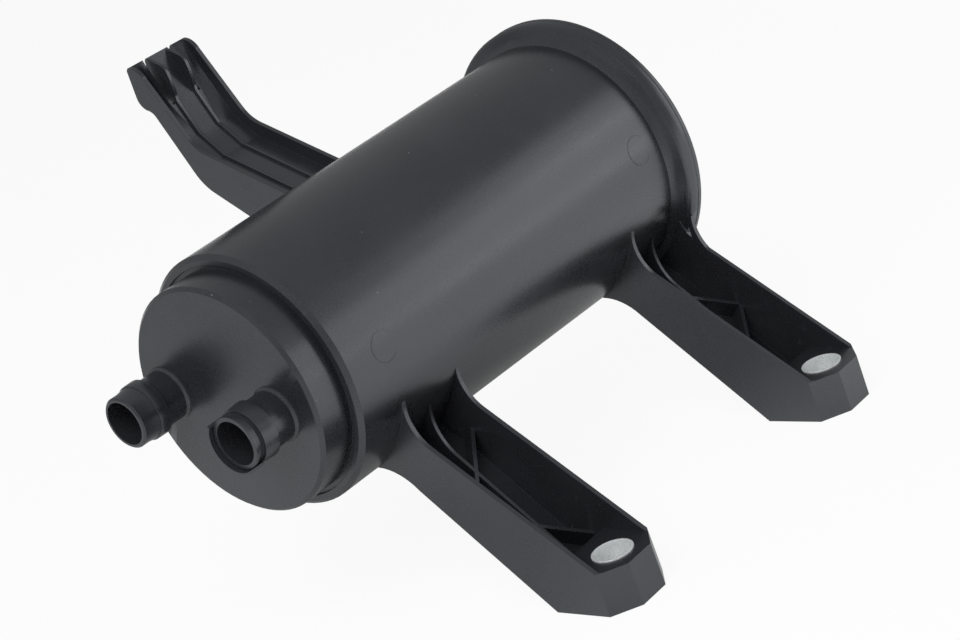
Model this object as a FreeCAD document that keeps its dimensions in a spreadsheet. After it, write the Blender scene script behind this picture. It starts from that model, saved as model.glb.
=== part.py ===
import FreeCAD
import Part
import Sketcher
import math
import os

# Fuel vapour filter: a moulded canister filled with activated charcoal.
# Working frame: X runs along the canister from the port end to the cover, Y and Z start on its axis.
# The finished pieces are moved so that the origin lies midway between the two foot bolts, on the foot plane.

SIZES = {
    # Canister shell
    "end_radius": 40.1,
    "end_height": 12.6,
    "edge_bevel": 1.2,
    "groove_width": 1.6,
    "groove_depth": 1.0,
    "shoulder_width": 4.9,
    "draft": 1.5,
    "shoulder_bevel": 1.5,
    "flange_x": 180.0,
    "flange_width": 6.2,
    "flange_depth": 5.4,
    "flange_fillet": 2.5,
    "shell_wall": 2.0,
    "end_wall": 2.2,
    "seat_wall": 3.2,
    "divider_wall": 2.0,
    "divider_end": 168.0,
    "overlap": 1.0,
    # Hose stubs
    "port_a_y": 27.5,
    "port_a_z": 3.2,
    "port_b_y": -21.6,
    "port_b_z": -4.0,
    "stub_length": 20.2,
    "stub_bore": 7.6,
    "neck_radius": 8.8,
    "base_radius": 9.6,
    "base_height": 0.8,
    "barb_radius": 9.95,
    "barb_place": 9.0,
    "barb_land": 1.0,
    "tip_radius": 9.05,
    "tip_land": 3.6,
    "tip_bevel": 0.6,
    # Clip seat of the second stub
    "collar_end": 14.9,
    "collar_radius": 9.5,
    "clip_groove": 8.3,
    "ring_x": 17.3,
    "ring_end": 18.5,
    "lip_inner": 9.35,
    "lip_outer": 10.4,
    "lip_start": -20.0,
    "lip_angle": 150.0,
    # Trough arms
    "arm_front_x": 45.3,
    "arm_rear_x": 167.3,
    "arm_width": 27.8,
    "arm_wall": 1.6,
    "arm_root_angle": 202.6,
    "arm_sink": 6.0,
    "arm_edge_y": 45.9,
    "arm_edge_z": 34.2,
    "arm_top_arc": 14.5,
    "arm_tip_y": 97.0,
    "tip_rise": 0.2,
    "foot_drop": 91.8,
    "foot_height": 14.85,
    "foot_end_y": 104.2,
    "foot_heel_y": 74.9,
    "foot_core_y": 79.2,
    "belly_y": 33.7,
    "belly_z": 49.5,
    "belly_arc": 20.5,
    "belly_angle": 245.7,
    "trough_root_y": 26.0,
    "trough_root_z": 41.5,
    "floor_rise": 2.9,
    "rib_rise": 10.1,
    "rib_wall": 1.3,
    "rib_root_angle": 213.1,
    "rib_root_arc": 17.0,
    "rib_edge_y": 41.8,
    "zigzag_near": 5.7,
    "zigzag_apex": 20.1,
    "zigzag_far": 47.6,
    "zigzag_half": 0.94,
    "zigzag_depth": 8.1,
    "corner_x": 8.1,
    "corner_y": 7.4,
    "web_rim_y": 47.6,
    "web_rim_z": 24.5,
    "web_arc": 16.0,
    "web_edge_y": 56.6,
    # Bolt sleeves
    "sleeve_y": 93.2,
    "sleeve_radius": 7.0,
    "sleeve_wall": 0.9,
    "sleeve_proud": 0.5,
    "press_gap": 0.02,
    # Hook arm
    "hook_width": 29.2,
    "hook_wall": 1.7,
    "hook_sink": 1.64,
    "hook_root_angle": 35.4,
    "hook_heel_y": 45.9,
    "hook_heel_z": 5.4,
    "hook_bend_y": 83.1,
    "hook_bend_z": 49.6,
    "hook_rise_y": 89.6,
    "hook_rise_z": 56.5,
    "hook_bend_arc": 14.0,
    "hook_top_y": 100.2,
    "hook_top_z": 80.4,
    "hook_top_arc": 7.0,
    "hook_tip_y": 106.5,
    "hook_tip_z": 85.6,
    "hook_back_y": 107.4,
    "hook_back_z": 84.6,
    "hook_lug_y": 108.1,
    "hook_lug_z": 74.3,
    "hook_lug_arc": 5.5,
    "hook_step_y": 105.0,
    "hook_step_z": 69.0,
    "hook_step_arc": 5.0,
    "hook_waist_y": 101.7,
    "hook_waist_z": 66.1,
    "hook_elbow_y": 92.8,
    "hook_elbow_z": 42.9,
    "hook_elbow_arc": 18.0,
    "hook_belly_y": 86.4,
    "hook_belly_z": 34.8,
    "hook_deck": 5.2,
    "hook_web": 1.8,
    "hook_tip_drop": 0.4,
    "hook_relief_y": 100.4,
    "fin_wall": 1.3,
    "fin_rise": 0.9,
    "fin_foot_y": 98.7,
    "fin_foot_z": 68.2,
    "fin_peak_y": 98.0,
    "fin_peak_z": 79.0,
    "fin_arc": 35.0,
    "fin_crest_y": 100.6,
    "fin_crest_z": 82.6,
    "fin_crest_arc": 4.9,
    "finger_width": 11.0,
    "finger_slit": 1.6,
    "finger_root_z": 67.5,
    # Cover
    "cover_rim": 1.9,
    "cover_plate": 2.4,
    "cover_bulge": 3.2,
    "bulge_inset": 5.5,
    "skirt_depth": 4.0,
    "skirt_wall": 1.8,
    "skirt_gap": 0.25,
    "post_height": 4.5,
    "post_radius": 8.4,
    # Filling
    "grid_depth": 2.0,
    "fleece_depth": 3.0,
    "plate_depth": 2.5,
    "plate_x": 160.5,
    "fill_gap": 0.3,
    "contact_gap": 0.05,
    "slot_width": 3.0,
    "slot_inset": 5.0,
    "slot_share": 0.88,
    # Springs
    "spring_y": 20.0,
    "spring_radius": 10.0,
    "wire_radius": 0.9,
    "spring_turns": 4.0,
}


class Size:
    """A length together with the sheet expression that gives it."""

    def __init__(self, value, text):
        self.value = value
        self.text = text

    def join(self, other, sign, value):
        return Size(value, "(" + self.text + " " + sign + " " + other.text + ")")

    def __add__(self, other):
        other = as_size(other)
        return self.join(other, "+", self.value + other.value)

    def __sub__(self, other):
        other = as_size(other)
        return self.join(other, "-", self.value - other.value)

    def __mul__(self, other):
        other = as_size(other)
        return self.join(other, "*", self.value * other.value)

    def __truediv__(self, other):
        other = as_size(other)
        return self.join(other, "/", self.value / other.value)

    def __neg__(self):
        return Size(-self.value, "(0 - " + self.text + ")")


def as_size(number):
    """A plain number becomes a size that stays fixed."""
    if isinstance(number, Size):
        return number
    return Size(float(number), repr(float(number)))


def slope_angle(size):
    """The angle in degrees whose tangent is the given size."""
    return Size(math.degrees(math.atan(size.value)), "atan(" + size.text + ")")


def root(size):
    """The square root of a size."""
    return Size(math.sqrt(size.value), "sqrt(" + size.text + ")")


def around(radius, angle):
    """Place on a circle about the canister's axis, at an angle in degrees from +Y."""
    turn = math.radians(angle.value)
    across = Size(math.cos(turn), "cos(" + angle.text + ")")
    up = Size(math.sin(turn), "sin(" + angle.text + ")")
    return radius * across, radius * up


def heading(start, end):
    """Unit direction from one place to another."""
    across = end[0] - start[0]
    up = end[1] - start[1]
    length = root(across * across + up * up)
    return across / length, up / length


def below(place, along, depth):
    """Place at a depth under a line that passes through a place along a heading."""
    return place[0] + along[1] * depth, place[1] - along[0] * depth


class Sheet:
    """The spreadsheet of driving sizes; each size is an attribute."""

    def __init__(self, doc, values):
        self.sheet = doc.addObject("Spreadsheet::Sheet", "dims")
        for row, (name, value) in enumerate(values.items(), start=1):
            self.sheet.set("A" + str(row), name)
            self.sheet.set("B" + str(row), str(value))
            self.sheet.setAlias("B" + str(row), name)
            setattr(self, name, Size(value, "dims." + name))
        doc.recompute()


doc = FreeCAD.newDocument("fuel_vapour_filter")
d = Sheet(doc, SIZES)
ALONG_X = FreeCAD.Rotation(FreeCAD.Vector(0, 1, 0), 90)
ZERO = as_size(0)
WIRE_STEPS = 14
WIRE_SIDES = 6
SLOT_COLUMNS = 5

# Derived sizes
FRONT_RADIUS = d.end_radius + d.shoulder_width
REAR_RADIUS = FRONT_RADIUS + d.draft
FLANGE_RADIUS = REAR_RADIUS + d.flange_width
BULGE_RADIUS = REAR_RADIUS - d.bulge_inset
FLANGE_END = d.flange_x + d.flange_depth
SEAT_X = d.end_height + d.seat_wall
TAPER = d.draft / (d.flange_x - d.end_height)
MIDDLE_X = (d.arm_front_x + d.arm_rear_x) / 2
FOOT_TOP = d.foot_height - d.foot_drop
BELLY_SLOPE = (d.foot_drop - d.belly_z) / (d.foot_heel_y - d.belly_y)


def shell_radius(x):
    """Outer radius of the drafted canister at a place along it."""
    return FRONT_RADIUS + TAPER * (x - d.end_height)


def room_radius(x):
    """Radius that a piece of the filling may have from that place onwards."""
    return shell_radius(x) - d.shell_wall - d.fill_gap


def bind(obj, prop, size):
    """Sets a property and ties it to the sheet."""
    obj.setExpression(prop, as_size(size).text)


def move(obj, x, y, z):
    """Ties the place of an object to the sheet."""
    bind(obj, "Placement.Base.x", x)
    bind(obj, "Placement.Base.y", y)
    bind(obj, "Placement.Base.z", z)


def place_finished(obj, label):
    """Names a finished piece and moves it into the shared frame."""
    obj.Label = label
    move(obj, -MIDDLE_X, d.sleeve_y, d.foot_drop)
    return obj


def new_sketch(body, name, role, offset=(ZERO, ZERO, ZERO), tilt=None):
    """A sketch on an origin plane of its body, moved and tilted from it."""
    sketch = body.newObject("Sketcher::SketchObject", name)
    planes = [feature for feature in body.Origin.OriginFeatures if feature.Role == role]
    sketch.AttachmentSupport = [(planes[0], "")]
    sketch.MapMode = "FlatFace"
    if tilt is not None:
        turn = FreeCAD.Rotation(FreeCAD.Vector(1, 0, 0), tilt.value)
        sketch.AttachmentOffset = FreeCAD.Placement(FreeCAD.Vector(0, 0, 0), turn)
        bind(sketch, "AttachmentOffset.Rotation.Angle", tilt)
    for axis, size in zip("xyz", offset):
        bind(sketch, "AttachmentOffset.Base." + axis, size)
    return sketch


def arc_between(start, end, radius, left):
    """Arc of a given radius from start to end that turns left or right."""
    chord = end - start
    middle = (start + end) / 2
    rise = math.sqrt(max(radius ** 2 - (chord.Length / 2) ** 2, 0.0))
    normal = FreeCAD.Vector(-chord.y, chord.x, 0).normalize()
    centre = middle + normal * (rise if left else -rise)
    first = start if left else end
    last = end if left else start
    begin = math.atan2(first.y - centre.y, first.x - centre.x)
    finish = math.atan2(last.y - centre.y, last.x - centre.x)
    circle = Part.Circle(centre, FreeCAD.Vector(0, 0, 1), radius)
    return Part.ArcOfCircle(circle, begin, finish)


def draw(sketch, path):
    """Draws one closed outline whose corners and arc radii are tied to the sheet.

    A corner is (across, up); (across, up, radius, turn) reaches it along an arc.
    """
    count = len(path)
    points = [FreeCAD.Vector(as_size(p[0]).value, as_size(p[1]).value, 0) for p in path]
    spans = []
    for index in range(count):
        after = path[(index + 1) % count]
        start = points[index]
        end = points[(index + 1) % count]
        if len(after) == 2:
            spans.append((sketch.addGeometry(Part.LineSegment(start, end)), 1, 2))
            continue
        left = after[3] == "left"
        geometry = sketch.addGeometry(arc_between(start, end, after[2].value, left))
        spans.append((geometry, 1, 2) if left else (geometry, 2, 1))
        limit = sketch.addConstraint(Sketcher.Constraint("Radius", geometry, after[2].value))
        bind(sketch, "Constraints[" + str(limit) + "]", after[2])
    for index in range(count):
        here = spans[index]
        following = spans[(index + 1) % count]
        sketch.addConstraint(Sketcher.Constraint("Coincident", here[0], here[2], following[0], following[1]))
    for index in range(count):
        geometry, first, _ = spans[index]
        for kind, axis, size in (("DistanceX", -2, path[index][0]), ("DistanceY", -1, path[index][1])):
            size = as_size(size)
            if size.value == 0.0:
                sketch.addConstraint(Sketcher.Constraint("PointOnObject", geometry, first, axis))
                continue
            fixed = sketch.addConstraint(Sketcher.Constraint(kind, -1, 1, geometry, first, size.value))
            bind(sketch, "Constraints[" + str(fixed) + "]", size)


def draw_circle(sketch, across, up, radius):
    """Draws one circle whose centre and radius are tied to the sheet."""
    centre = FreeCAD.Vector(across.value, up.value, 0)
    geometry = sketch.addGeometry(Part.Circle(centre, FreeCAD.Vector(0, 0, 1), radius.value))
    for kind, size in (("DistanceX", across), ("DistanceY", up)):
        fixed = sketch.addConstraint(Sketcher.Constraint(kind, -1, 1, geometry, 3, size.value))
        bind(sketch, "Constraints[" + str(fixed) + "]", size)
    limit = sketch.addConstraint(Sketcher.Constraint("Radius", geometry, radius.value))
    bind(sketch, "Constraints[" + str(limit) + "]", radius)


def new_body(name):
    return doc.addObject("PartDesign::Body", name)


def pad(body, name, sketch, length, symmetric=True, reverse=False):
    """Adds material along the sketch's normal."""
    feature = body.newObject("PartDesign::Pad", name)
    feature.Profile = sketch
    feature.SideType = "Symmetric" if symmetric else "One side"
    feature.Reversed = reverse
    bind(feature, "Length", length)
    return feature


def pocket(body, name, sketch, length=None):
    """Removes material to both sides of the sketch, all the way if no length is given."""
    feature = body.newObject("PartDesign::Pocket", name)
    feature.Profile = sketch
    feature.SideType = "Symmetric"
    if length is None:
        feature.Type = "ThroughAll"
    else:
        bind(feature, "Length", length)
    return feature


def revolve(body, name, sketch):
    """Turns the sketch once round its horizontal axis."""
    feature = body.newObject("PartDesign::Revolution", name)
    feature.Profile = sketch
    feature.ReferenceAxis = (sketch, ["H_Axis"])
    feature.Angle = 360
    return feature


def box(name, length, width, height, x, y, z):
    """A block with one corner at the given place."""
    feature = doc.addObject("Part::Box", name)
    bind(feature, "Length", length)
    bind(feature, "Width", width)
    bind(feature, "Height", height)
    move(feature, x, y, z)
    return feature


def rod(name, radius, length, x, y, z):
    """A cylinder along X that starts at the given place."""
    feature = doc.addObject("Part::Cylinder", name)
    feature.Placement.Rotation = ALONG_X
    bind(feature, "Radius", radius)
    bind(feature, "Height", length)
    move(feature, x, y, z)
    return feature


def cone(name, radius, end_radius, length, x):
    """A cone on the canister's axis that starts at the given place."""
    feature = doc.addObject("Part::Cone", name)
    feature.Placement.Rotation = ALONG_X
    bind(feature, "Radius1", radius)
    bind(feature, "Radius2", end_radius)
    bind(feature, "Height", length)
    move(feature, x, ZERO, ZERO)
    return feature


def combine(kind, name, base, tool):
    """A boolean of two objects."""
    feature = doc.addObject("Part::" + kind, name)
    feature.Base = base
    feature.Tool = tool
    return feature


def fuse(name, shapes):
    """One solid made of several overlapping ones."""
    feature = doc.addObject("Part::MultiFuse", name)
    feature.Shapes = shapes
    feature.Refine = True
    return feature


# Canister shell, turned about its axis
shell = new_body("shell")
outline = new_sketch(shell, "shell_outline", "XY_Plane")
draw(outline, [
    (0, 0),
    (0, d.end_radius - d.edge_bevel),
    (d.edge_bevel, d.end_radius),
    (d.end_height + d.groove_depth, d.end_radius),
    (d.end_height + d.groove_depth, d.end_radius + d.groove_width),
    (d.end_height, d.end_radius + d.groove_width),
    (d.end_height, FRONT_RADIUS - d.shoulder_bevel),
    (d.end_height + d.shoulder_bevel, shell_radius(d.end_height + d.shoulder_bevel)),
    (d.flange_x - d.flange_fillet, shell_radius(d.flange_x - d.flange_fillet)),
    (d.flange_x, REAR_RADIUS + d.flange_fillet),
    (d.flange_x, FLANGE_RADIUS - d.edge_bevel),
    (d.flange_x + d.edge_bevel, FLANGE_RADIUS),
    (FLANGE_END, FLANGE_RADIUS),
    (FLANGE_END, 0),
])
revolve(shell, "shell_turned", outline)

# Room inside the shell, split in two by the dividing wall up to the cross-over at the cover
room = new_body("room")
outline = new_sketch(room, "room_outline", "XY_Plane")
draw(outline, [
    (d.end_wall, 0),
    (d.end_wall, d.end_radius - d.shell_wall),
    (SEAT_X, d.end_radius - d.shell_wall),
    (SEAT_X, shell_radius(SEAT_X) - d.shell_wall),
    (FLANGE_END + d.overlap, shell_radius(FLANGE_END + d.overlap) - d.shell_wall),
    (FLANGE_END + d.overlap, 0),
])
revolve(room, "room_turned", outline)
divider = box("divider", d.divider_end, d.divider_wall, REAR_RADIUS * 2,
              ZERO, -d.divider_wall / 2, -REAR_RADIUS)
room_split = combine("Cut", "room_split", room, divider)


# Hose stubs
def make_stub(name, y, z, path):
    """A stub turned about its own axis in front of the port end."""
    body = new_body(name)
    profile = new_sketch(body, name + "_outline", "XY_Plane", (ZERO, y, z))
    draw(profile, path)
    revolve(body, name + "_turned", profile)
    return body


STUB_ROOT = [
    (d.end_wall / 2, 0),
    (d.end_wall / 2, d.base_radius),
    (-d.base_height / 2, d.base_radius),
    (-d.base_height, d.neck_radius + d.base_height / 2),
    (-d.base_height * 1.5, d.neck_radius),
    (-d.barb_place, d.neck_radius),
    (-d.barb_place - d.base_height / 4, d.barb_radius),
    (-d.barb_place - d.barb_land, d.barb_radius),
]
stub_a = make_stub("stub_a", d.port_a_y, d.port_a_z, STUB_ROOT + [
    (d.tip_land - d.stub_length, d.tip_radius),
    (d.tip_bevel - d.stub_length, d.tip_radius),
    (-d.stub_length, d.tip_radius - d.tip_bevel),
    (-d.stub_length, 0),
])
stub_b = make_stub("stub_b", d.port_b_y, d.port_b_z, STUB_ROOT + [
    (-d.collar_end, d.collar_radius),
    (-d.collar_end, d.clip_groove),
    (-d.ring_x, d.clip_groove),
    (-d.ring_x, d.tip_radius),
    (-d.ring_end, d.tip_radius),
    (-d.ring_end, 0),
])

BORE_START = -d.stub_length - d.overlap
BORE_LENGTH = d.end_wall + d.overlap - BORE_START
bore_a = rod("bore_a", d.stub_bore, BORE_LENGTH, BORE_START, d.port_a_y, d.port_a_z)
bore_b = rod("bore_b", d.stub_bore, BORE_LENGTH, BORE_START, d.port_b_y, d.port_b_z)

# Part-round lip that shields the clip seat of the second stub
lip_sector = rod("lip_sector", d.lip_outer, d.stub_length - d.collar_end + d.barb_land, -d.stub_length,
                 d.port_b_y, d.port_b_z)
lip_sector.Placement.Rotation = ALONG_X.multiply(FreeCAD.Rotation(FreeCAD.Vector(0, 0, 1), d.lip_start.value))
bind(lip_sector, "Angle", d.lip_angle)
lip_core = rod("lip_core", d.lip_inner, d.stub_length, BORE_START, d.port_b_y, d.port_b_z)
lip = combine("Cut", "lip", lip_sector, lip_core)


# Trough arms with bolt feet
def belly_at(y):
    """Height of the straight underside of an arm at a distance from the axis."""
    return -d.belly_z - BELLY_SLOPE * (y - d.belly_y)


def make_arm(name, x, apex_side):
    """An open trough with a foot, one rib along it and a zigzag rib across it."""
    body = new_body(name)
    middle = (ZERO, ZERO, x)
    surface = shell_radius(x)
    sunk = surface - d.arm_sink

    side = new_sketch(body, name + "_side", "YZ_Plane", middle)
    draw(side, [
        around(sunk, d.arm_root_angle),
        around(surface, d.arm_root_angle),
        (-d.arm_edge_y, -d.arm_edge_z, d.arm_top_arc, "right"),
        (-d.arm_tip_y, FOOT_TOP + d.tip_rise),
        (-d.foot_end_y, FOOT_TOP),
        (-d.foot_end_y, -d.foot_drop),
        (-d.foot_heel_y, -d.foot_drop),
        (-d.belly_y, -d.belly_z),
        (*around(surface, d.belly_angle), d.belly_arc, "right"),
        around(sunk, d.belly_angle),
    ])
    pad(body, name + "_block", side, d.arm_width)

    hollow = new_sketch(body, name + "_hollow", "YZ_Plane", middle)
    draw(hollow, [
        (-d.foot_core_y, FOOT_TOP),
        (-d.foot_end_y - d.overlap, FOOT_TOP),
        (-d.foot_end_y - d.overlap, ZERO),
        (d.arm_sink - d.trough_root_y, ZERO),
        (d.arm_sink - d.trough_root_y, d.arm_sink - d.trough_root_z),
        (-d.trough_root_y, -d.trough_root_z),
        (-d.belly_y, d.floor_rise - d.belly_z),
        (-d.foot_heel_y, d.floor_rise - d.foot_drop),
        (-d.foot_core_y, d.floor_rise - d.foot_drop),
    ])
    pocket(body, name + "_trough", hollow, d.arm_width - d.arm_wall * 2)

    rib_z = belly_at(d.rib_edge_y) + d.floor_rise + d.rib_rise
    rib_end = d.foot_core_y + d.overlap
    rib = new_sketch(body, name + "_rib_side", "YZ_Plane", middle)
    draw(rib, [
        around(sunk, d.rib_root_angle),
        around(surface, d.rib_root_angle),
        (-d.rib_edge_y, rib_z, d.rib_root_arc, "right"),
        (-rib_end, belly_at(rib_end) + d.floor_rise + d.rib_rise),
        (-rib_end, d.floor_rise / 2 - d.foot_drop),
        (-d.foot_heel_y, d.floor_rise / 2 - d.foot_drop),
        (-d.belly_y, d.floor_rise / 2 - d.belly_z),
        (-d.trough_root_y, -d.trough_root_z - d.floor_rise / 2),
        around(sunk, d.belly_angle),
    ])
    pad(body, name + "_rib", rib, d.rib_wall)

    reach = (d.arm_width - d.arm_wall) / 2 * apex_side
    slant = slope_angle(BELLY_SLOPE)
    crown = new_sketch(body, name + "_zigzag_top", "XY_Plane", (x, -d.rib_edge_y, rib_z), slant)
    draw(crown, [
        (-reach, d.zigzag_near + d.zigzag_half),
        (reach, d.zigzag_half - d.zigzag_apex),
        (reach, -d.zigzag_apex - d.zigzag_half),
        (-reach, d.zigzag_near - d.zigzag_half),
    ])
    pad(body, name + "_zigzag_upper", crown, d.zigzag_depth, symmetric=False, reverse=True)
    crown = new_sketch(body, name + "_zigzag_end", "XY_Plane", (x, -d.rib_edge_y, rib_z), slant)
    draw(crown, [
        (reach, d.zigzag_half - d.zigzag_apex),
        (-reach, d.zigzag_half - d.zigzag_far),
        (-reach, -d.zigzag_far - d.zigzag_half),
        (reach, -d.zigzag_apex - d.zigzag_half),
    ])
    pad(body, name + "_zigzag_lower", crown, d.zigzag_depth, symmetric=False, reverse=True)

    for corner, sign in (("near", -1), ("far", 1)):
        plan = new_sketch(body, name + "_corner_" + corner, "XY_Plane")
        edge = x + d.arm_width / 2 * sign
        past = d.overlap * sign
        draw(plan, [
            (edge + past, -d.foot_end_y - d.overlap),
            (edge + past, d.corner_y - d.foot_end_y + d.overlap * d.corner_y / d.corner_x),
            (edge - d.corner_x * sign - past * d.corner_x / d.corner_y, -d.foot_end_y - d.overlap),
        ])
        pocket(body, name + "_cut_" + corner, plan)

    plan = new_sketch(body, name + "_hole_plan", "XY_Plane")
    draw_circle(plan, x, -d.sleeve_y, d.sleeve_radius + d.press_gap)
    pocket(body, name + "_hole", plan)
    return body


arm_front = make_arm("arm_front", d.arm_front_x, -1)
arm_rear = make_arm("arm_rear", d.arm_rear_x, 1)

# Web that carries the flange's rim down into the outer wall of the rear arm
web = new_body("web")
web_x = d.arm_rear_x + d.arm_width / 2 - d.arm_wall / 2
web_edge_z = -d.arm_edge_z - (d.web_edge_y - d.arm_edge_y) * (
    (-FOOT_TOP - d.arm_edge_z) / (d.arm_tip_y - d.arm_edge_y))
profile = new_sketch(web, "web_side", "YZ_Plane", (ZERO, ZERO, web_x))
draw(profile, [
    (-FRONT_RADIUS, -d.web_rim_z),
    (-d.web_rim_y, -d.web_rim_z),
    (-d.web_edge_y, web_edge_z, d.web_arc, "right"),
    (-FRONT_RADIUS, -d.belly_z),
])
pad(web, "web_plate", profile, d.arm_wall)

# Hook arm with a springy finger at its end
HOOK_ROOT = around(shell_radius(MIDDLE_X) - d.hook_sink, d.hook_root_angle)
HOOK_BEND = (d.hook_bend_y, d.hook_bend_z)
HOOK_RISE = (d.hook_rise_y, d.hook_rise_z)
LOW = heading(HOOK_ROOT, HOOK_BEND)
HIGH = heading(HOOK_RISE, (d.hook_top_y, d.hook_top_z))
DECK_ROOT = below(HOOK_ROOT, LOW, d.hook_deck)
DECK_BEND = below(HOOK_BEND, LOW, d.hook_deck)
DECK_RISE = below(HOOK_RISE, HIGH, d.hook_deck)
DECK_TIP_Y = d.hook_tip_y - d.hook_tip_drop
HOOK_PAST = d.hook_tip_z + d.overlap
hook = new_body("hook")
middle = (ZERO, ZERO, MIDDLE_X)
profile = new_sketch(hook, "hook_side", "YZ_Plane", middle)
draw(profile, [
    (HOOK_ROOT[0], d.hook_heel_z),
    HOOK_ROOT,
    HOOK_BEND,
    (*HOOK_RISE, d.hook_bend_arc, "left"),
    (d.hook_top_y, d.hook_top_z),
    (d.hook_tip_y, d.hook_tip_z, d.hook_top_arc, "right"),
    (d.hook_back_y, d.hook_back_z),
    (d.hook_lug_y, d.hook_lug_z),
    (d.hook_step_y, d.hook_step_z, d.hook_lug_arc, "right"),
    (d.hook_waist_y, d.hook_waist_z, d.hook_step_arc, "left"),
    (d.hook_elbow_y, d.hook_elbow_z),
    (d.hook_belly_y, d.hook_belly_z, d.hook_elbow_arc, "right"),
    (d.hook_heel_y, d.hook_heel_z),
])
pad(hook, "hook_block", profile, d.hook_width)

hollow = new_sketch(hook, "hook_deck", "YZ_Plane", middle)
draw(hollow, [
    DECK_ROOT,
    DECK_BEND,
    DECK_RISE,
    (DECK_TIP_Y, d.hook_tip_z - d.hook_tip_drop),
    (DECK_TIP_Y, HOOK_PAST),
    (d.hook_heel_y, HOOK_PAST),
    (HOOK_ROOT[0] - d.hook_deck, HOOK_ROOT[1] + d.hook_deck),
])
pocket(hook, "hook_trough", hollow, d.hook_width - d.hook_wall * 2)

under = new_sketch(hook, "hook_under", "YZ_Plane", middle)
draw(under, [
    below(DECK_ROOT, LOW, d.hook_web),
    below(DECK_BEND, LOW, d.hook_web),
    below(DECK_RISE, HIGH, d.hook_web),
    (d.hook_relief_y, d.hook_waist_z),
    (d.hook_waist_y + d.overlap, d.hook_waist_z),
    (d.hook_waist_y + d.overlap, ZERO),
    (HOOK_ROOT[0], ZERO),
])
pocket(hook, "hook_relief", under, d.hook_width - d.hook_wall * 2)

slit_middle = (d.finger_width + d.finger_slit) / 2
fin_middle = (d.finger_width - d.fin_wall) / 2
for name, sign in (("near", -1), ("far", 1)):
    fin = new_sketch(hook, "hook_fin_" + name, "YZ_Plane", (ZERO, ZERO, MIDDLE_X + fin_middle * sign))
    draw(fin, [
        below(DECK_ROOT, LOW, d.hook_web / 2),
        below(DECK_ROOT, LOW, -d.fin_rise),
        below(DECK_BEND, LOW, -d.fin_rise),
        below(DECK_RISE, HIGH, -d.fin_rise),
        (d.fin_foot_y, d.fin_foot_z),
        (d.fin_peak_y, d.fin_peak_z, d.fin_arc, "right"),
        (d.fin_crest_y, d.fin_crest_z, d.fin_crest_arc, "right"),
        (d.hook_tip_y, d.hook_tip_z - d.hook_tip_drop / 2),
        (d.hook_back_y - d.hook_tip_drop, d.hook_back_z - d.hook_tip_drop),
        below(DECK_RISE, HIGH, d.hook_web / 2),
        below(DECK_BEND, LOW, d.hook_web / 2),
    ])
    pad(hook, "hook_rib_" + name, fin, d.fin_wall)
    cut = new_sketch(hook, "hook_slit_" + name, "YZ_Plane", (ZERO, ZERO, MIDDLE_X + slit_middle * sign))
    draw(cut, [
        (d.hook_rise_y, d.finger_root_z),
        (d.hook_lug_y + d.overlap, d.finger_root_z),
        (d.hook_lug_y + d.overlap, HOOK_PAST),
        (d.hook_rise_y, HOOK_PAST),
    ])
    pocket(hook, "hook_gap_" + name, cut, d.finger_slit)

outside = fuse("outside", [shell, stub_a, stub_b, lip, arm_front, arm_rear, web, hook])
inside = fuse("inside", [room_split, bore_a, bore_b])
canister_body = place_finished(combine("Cut", "canister", outside, inside), "canister_body")

# Welded cover: rim, bulged plate, locating skirt and two spring posts
cover = new_body("cover")
outline = new_sketch(cover, "cover_outline", "XY_Plane")
SKIRT = shell_radius(FLANGE_END - d.skirt_depth) - d.shell_wall - d.skirt_gap
draw(outline, [
    (FLANGE_END + d.cover_bulge, 0),
    (FLANGE_END + d.cover_bulge, BULGE_RADIUS - d.cover_plate),
    (FLANGE_END, BULGE_RADIUS - d.cover_plate),
    (FLANGE_END - d.skirt_depth, SKIRT - d.skirt_wall),
    (FLANGE_END - d.skirt_depth, SKIRT),
    (FLANGE_END, SKIRT),
    (FLANGE_END, FLANGE_RADIUS),
    (FLANGE_END + d.cover_rim, FLANGE_RADIUS),
    (FLANGE_END + d.cover_rim, BULGE_RADIUS + d.cover_plate),
    (FLANGE_END + d.cover_bulge + d.cover_plate, BULGE_RADIUS - d.cover_plate / 2),
    (FLANGE_END + d.cover_bulge + d.cover_plate, 0),
])
revolve(cover, "cover_turned", outline)
post_x = FLANGE_END + d.cover_bulge - d.post_height
post_left = rod("post_left", d.post_radius, d.post_height + d.overlap, post_x, d.spring_y, ZERO)
post_right = rod("post_right", d.post_radius, d.post_height + d.overlap, post_x, -d.spring_y, ZERO)
end_cover = place_finished(fuse("cover_with_posts", [cover, post_left, post_right]), "end_cover")


# Bolt sleeves
def make_sleeve(label, x):
    body = new_body(label)
    ring = new_sketch(body, label + "_ring", "XY_Plane", (ZERO, ZERO, -d.foot_drop))
    draw_circle(ring, x, -d.sleeve_y, d.sleeve_radius)
    draw_circle(ring, x, -d.sleeve_y, d.sleeve_radius - d.sleeve_wall)
    pad(body, label + "_tube", ring, d.foot_height + d.sleeve_proud, symmetric=False)
    return place_finished(body, label)


sleeve_front = make_sleeve("sleeve_front", d.arm_front_x)
sleeve_rear = make_sleeve("sleeve_rear", d.arm_rear_x)


# Filling: every layer is split into two halves beside the dividing wall
def half_layer(name, side, start, depth):
    """One half of a round layer that fits the drafted room."""
    end_radius = room_radius(start) + TAPER * depth
    disc = cone(name + "_disc", room_radius(start), end_radius, depth, start)
    gap = d.divider_wall / 2 + d.fill_gap
    corner = gap if side > 0 else -REAR_RADIUS
    keep = box(name + "_half", depth, REAR_RADIUS - gap, REAR_RADIUS * 2, start, corner, -REAR_RADIUS)
    return combine("Common", name + "_layer", disc, keep)


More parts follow.
